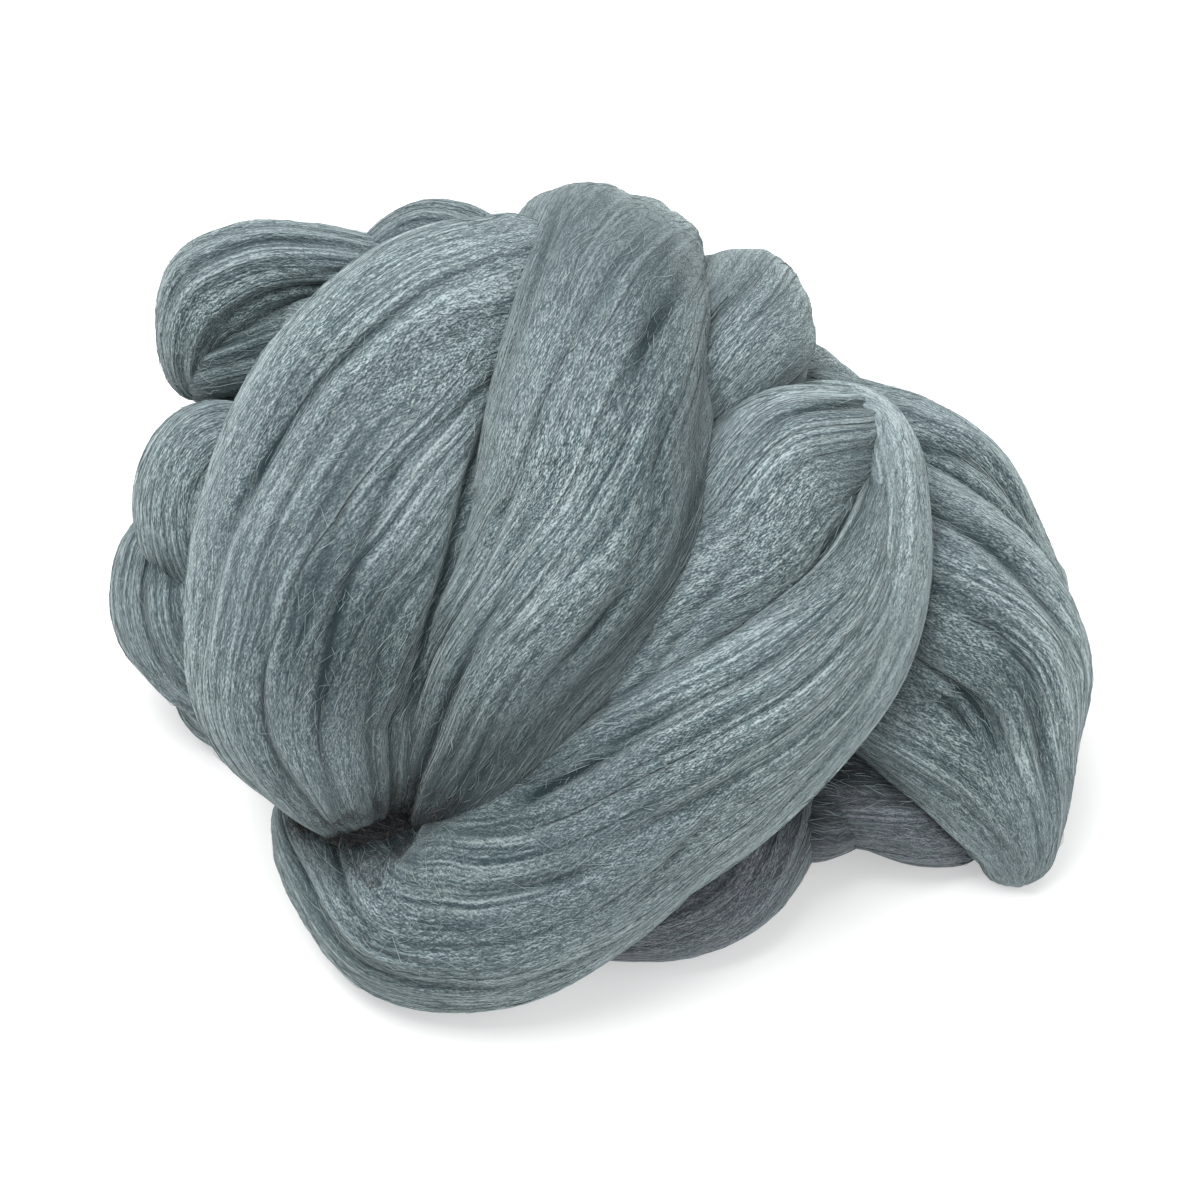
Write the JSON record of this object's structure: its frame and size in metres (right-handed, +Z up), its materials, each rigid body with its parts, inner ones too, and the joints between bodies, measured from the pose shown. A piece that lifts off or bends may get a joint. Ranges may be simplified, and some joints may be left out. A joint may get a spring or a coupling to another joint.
{
  "type": "wool roving",
  "caption": "Loose bundle of thick, untwisted combed wool roving, folded over itself in broad rounded bands that rest flat underneath.",
  "frame": {"origin": "on the surface that the bundle lies on, under the middle of the bundle's box", "axes": "+Z up; the long way of the bundle runs along X; the broad front folds face -Y and up"},
  "size_m": [0.2262, 0.1906, 0.1303],
  "materials": {
    "wool": "soft matt combed fibre, grey teal"
  },
  "bodies": {
    "root": {"wool_roving": "wool"}
  },
  "joints": []
}
